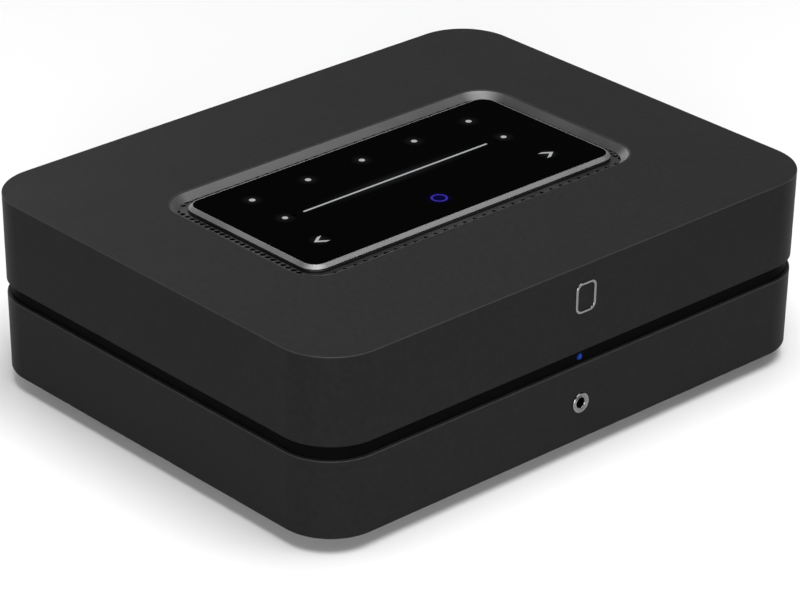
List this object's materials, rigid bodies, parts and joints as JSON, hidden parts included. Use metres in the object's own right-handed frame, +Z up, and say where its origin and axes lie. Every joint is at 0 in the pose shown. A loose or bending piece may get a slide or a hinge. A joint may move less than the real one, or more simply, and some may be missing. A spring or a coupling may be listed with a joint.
{
  "type": "network music streamer",
  "caption": "Free-standing network music streamer: drafted two-part housing on rubber feet, sunken perforated vent round a glass touch panel, rear sockets and screw-down speaker posts.",
  "frame": {"origin": "on the table, under the middle of the outer box", "axes": "+X to the right of someone facing the front, +Y to the rear sockets, +Z up"},
  "size_m": [0.22, 0.1902, 0.069],
  "materials": {
    "shell": "fine matt texture, near black",
    "seam": "smooth black",
    "liner": "satin gunmetal",
    "mesh": "satin black perforated sheet",
    "bezel": "dark satin with a polished bevel",
    "touch_glass": "polished, printed black behind",
    "rear_plastic": "fine matt texture, black",
    "inner_plastic": "plain moulded",
    "socket_plastic": "satin black",
    "board": "solder-masked laminate",
    "flex": "polyimide film",
    "lead": "insulated wire",
    "screw": "black zinc",
    "thermal_pad": "soft grey pad",
    "heatsink": "plain extruded",
    "ferrite": "pressed ferrite",
    "capacitor": "sleeved can",
    "connector_metal": "nickel-plated stamping",
    "gold": "gold-plated brass",
    "knob_red": "moulded red",
    "knob_black": "moulded black",
    "chrome_trim": "polished",
    "foot": "soft black",
    "light": "clear guide, lit blue"
  },
  "bodies": {
    "housing": {"upper_shell": "shell", "lower_shell": "shell", "seam_frame": "seam", "well_liner": "liner", "vent_mesh": "mesh", "panel_frame": "bezel", "touch_glass": "touch_glass", "touch_board": "board", "panel_carrier": "inner_plastic", "panel_flex_cable": "flex", "rear_panel": "rear_plastic", "case_screws": "screw", "carrier_screws": "screw", "rear_screws": "screw", "board_screws": "screw", "main_board": "board", "amplifier_board": "board", "thermal_pad": "thermal_pad", "heatsink": "heatsink", "output_chokes": "ferrite", "power_board": "board", "transformer": "ferrite", "capacitors": "capacitor", "insulating_sheet": "inner_plastic", "wireless_module": "connector_metal", "antennas": "inner_plastic", "mains_leads": "lead", "network_socket": "connector_metal", "usb_socket": "connector_metal", "hdmi_socket": "connector_metal", "infrared_socket": "socket_plastic", "audio_in_socket": "socket_plastic", "subwoofer_socket": "gold", "mains_inlet": "socket_plastic", "left_terminal_block": "socket_plastic", "right_terminal_block": "socket_plastic", "terminal_nuts": "gold", "terminal_board": "board", "headphone_ring": "chrome_trim", "headphone_socket": "socket_plastic", "front_board": "board", "light_guide": "light", "front_emblem": "chrome_trim", "foot_front_left": "foot", "foot_rear_left": "foot", "foot_front_right": "foot", "foot_rear_right": "foot", "left_plus_stud": "gold", "left_minus_stud": "gold", "right_plus_stud": "gold", "right_minus_stud": "gold"},
    "left_plus_clamp": {"left_plus_washer": "gold"},
    "left_plus_knob_body": {"left_plus_knob": "knob_red"},
    "left_minus_clamp": {"left_minus_washer": "gold"},
    "left_minus_knob_body": {"left_minus_knob": "knob_black"},
    "right_plus_clamp": {"right_plus_washer": "gold"},
    "right_plus_knob_body": {"right_plus_knob": "knob_red"},
    "right_minus_clamp": {"right_minus_washer": "gold"},
    "right_minus_knob_body": {"right_minus_knob": "knob_black"}
  },
  "joints": [
    {"name": "left_plus_travel", "type": "slide", "parent": "housing", "child": "left_plus_clamp", "axis": [0, 1, 0], "range_m": [0, 0.005]},
    {"name": "left_plus_turn", "type": "hinge", "parent": "left_plus_clamp", "child": "left_plus_knob_body", "pos_m": [0.06552, 0.07964, 0.0458], "axis": [0, 1, 0], "range_deg": [0, 1800]},
    {"name": "left_minus_travel", "type": "slide", "parent": "housing", "child": "left_minus_clamp", "axis": [0, 1, 0], "range_m": [0, 0.005]},
    {"name": "left_minus_turn", "type": "hinge", "parent": "left_minus_clamp", "child": "left_minus_knob_body", "pos_m": [0.04648, 0.07964, 0.0458], "axis": [0, 1, 0], "range_deg": [0, 1800]},
    {"name": "right_plus_travel", "type": "slide", "parent": "housing", "child": "right_plus_clamp", "axis": [0, 1, 0], "range_m": [0, 0.005]},
    {"name": "right_plus_turn", "type": "hinge", "parent": "right_plus_clamp", "child": "right_plus_knob_body", "pos_m": [0.02353, 0.07964, 0.0458], "axis": [0, 1, 0], "range_deg": [0, 1800]},
    {"name": "right_minus_travel", "type": "slide", "parent": "housing", "child": "right_minus_clamp", "axis": [0, 1, 0], "range_m": [0, 0.005]},
    {"name": "right_minus_turn", "type": "hinge", "parent": "right_minus_clamp", "child": "right_minus_knob_body", "pos_m": [0.00447, 0.07964, 0.0458], "axis": [0, 1, 0], "range_deg": [0, 1800]}
  ],
  "couplings": [
    {"joint": "left_plus_turn", "follows": "left_plus_travel", "rad_per_m": 6283.2},
    {"joint": "left_minus_turn", "follows": "left_minus_travel", "rad_per_m": 6283.2},
    {"joint": "right_plus_turn", "follows": "right_plus_travel", "rad_per_m": 6283.2},
    {"joint": "right_minus_turn", "follows": "right_minus_travel", "rad_per_m": 6283.2}
  ]
}
